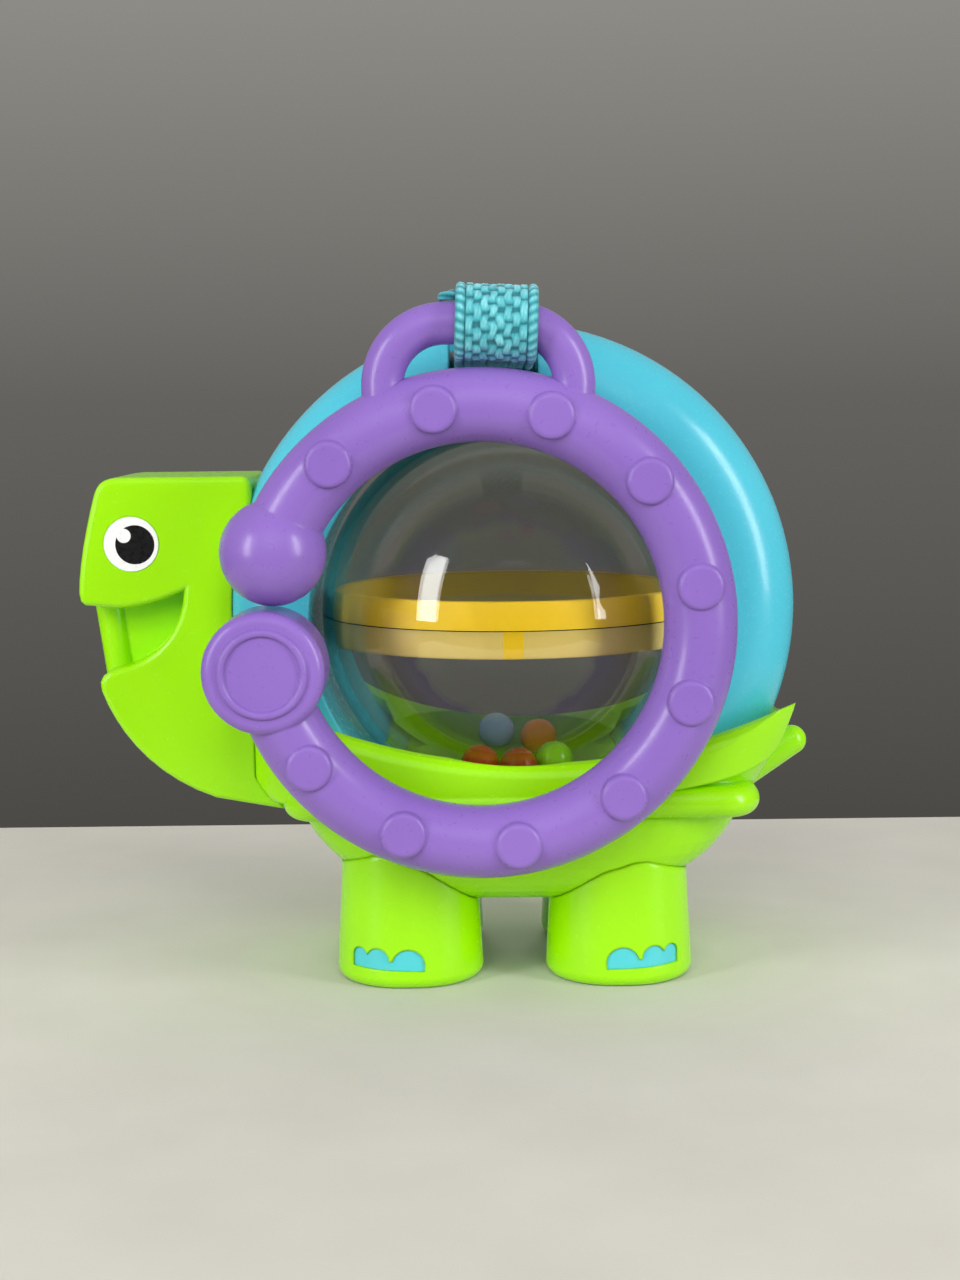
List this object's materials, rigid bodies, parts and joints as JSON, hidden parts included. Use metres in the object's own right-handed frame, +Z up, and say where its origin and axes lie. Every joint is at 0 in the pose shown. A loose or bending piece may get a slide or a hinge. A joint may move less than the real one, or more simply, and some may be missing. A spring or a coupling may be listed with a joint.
{
  "type": "turtle rattle",
  "caption": "Toy turtle on legs with a clear spinning ball of beads held in a shell arch, and a split link ring hanging from a webbing strap.",
  "frame": {"origin": "on the table under the middle of the toy's bounding box", "axes": "+Z up, +X from head to tail, -Y towards the side where the link ring hangs"},
  "size_m": [0.1159, 0.068, 0.1076],
  "materials": {
    "green_plastic": "glossy",
    "teal_plastic": "glossy",
    "purple_plastic": "glossy",
    "yellow_plastic": "glossy",
    "clear_plastic": "clear and polished",
    "webbing": "woven",
    "eye_white": "printed gloss",
    "eye_black": "printed gloss",
    "nail_teal": "glossy",
    "screw_steel": "plain",
    "bush_plastic": "matt",
    "pivot_plastic": "matt",
    "bead_red": "glossy",
    "bead_dark_red": "glossy",
    "bead_orange": "glossy",
    "bead_green": "glossy",
    "bead_blue": "glossy"
  },
  "bodies": {
    "turtle": {"cradle": "green_plastic", "belly_bowl": "green_plastic", "belly_screws": "screw_steel", "head_front_half": "green_plastic", "head_rear_half": "green_plastic", "head_screws": "screw_steel", "eye_white_front": "eye_white", "eye_white_rear": "eye_white", "eye_pupil_front": "eye_black", "eye_pupil_rear": "eye_black", "eye_glint_front": "eye_white", "eye_glint_rear": "eye_white", "leg_front_left": "green_plastic", "leg_front_right": "green_plastic", "leg_rear_left": "green_plastic", "leg_rear_right": "green_plastic", "toenails_front_left": "nail_teal", "toenails_front_right": "nail_teal", "toenails_rear_left": "nail_teal", "toenails_rear_right": "nail_teal", "leg_screws": "screw_steel", "shell_front_half": "teal_plastic", "shell_rear_half": "teal_plastic", "shell_screws": "screw_steel", "strap_pin": "screw_steel", "upper_bush": "bush_plastic", "lower_bush": "bush_plastic"},
    "ball": {"upper_dome": "clear_plastic", "lower_dome": "clear_plastic", "equator_band": "yellow_plastic", "upper_pivot": "pivot_plastic", "lower_pivot": "pivot_plastic"},
    "bead_red_body": {"bead_red": "bead_red"},
    "bead_dark_red_body": {"bead_dark_red": "bead_dark_red"},
    "bead_green_body": {"bead_green": "bead_green"},
    "bead_orange_body": {"bead_orange": "bead_orange"},
    "bead_blue_body": {"bead_blue": "bead_blue"},
    "strap": {"strap_webbing": "webbing"},
    "ring": {"link_ring": "purple_plastic"}
  },
  "joints": [
    {"name": "ball_spin", "type": "hinge", "parent": "turtle", "child": "ball", "pos_m": [0.00965, 0.00347, 0.0568], "axis": [0, 0, 1], "continuous": true},
    {"name": "bead_red_roll", "type": "hinge", "parent": "ball", "child": "bead_red_body", "pos_m": [0.00965, 0.00347, 0.0568], "axis": [-0.6283, 0.7779, 0], "range_deg": [0, 54]},
    {"name": "bead_dark_red_roll", "type": "hinge", "parent": "ball", "child": "bead_dark_red_body", "pos_m": [0.00965, 0.00347, 0.0568], "axis": [-0.9887, -0.1498, 0], "range_deg": [0, 54]},
    {"name": "bead_green_roll", "type": "hinge", "parent": "ball", "child": "bead_green_body", "pos_m": [0.00965, 0.00347, 0.0568], "axis": [-0.4207, -0.9072, 0], "range_deg": [0, 52]},
    {"name": "bead_orange_roll", "type": "hinge", "parent": "ball", "child": "bead_orange_body", "pos_m": [0.00965, 0.00347, 0.0568], "axis": [0.9015, -0.4327, 0], "range_deg": [0, 43]},
    {"name": "bead_blue_roll", "type": "hinge", "parent": "ball", "child": "bead_blue_body", "pos_m": [0.00965, 0.00347, 0.0568], "axis": [0.9815, 0.1915, 0], "range_deg": [0, 40]},
    {"name": "strap_swing", "type": "hinge", "parent": "turtle", "child": "strap", "pos_m": [0.00715, 0.00347, 0.0973], "axis": [-1, 0, 0], "range_deg": [0, 75]},
    {"name": "ring_swing", "type": "hinge", "parent": "strap", "child": "ring", "pos_m": [0.00485, -0.02608, 0.102], "axis": [-1, 0, 0], "range_deg": [0, 120]}
  ]
}
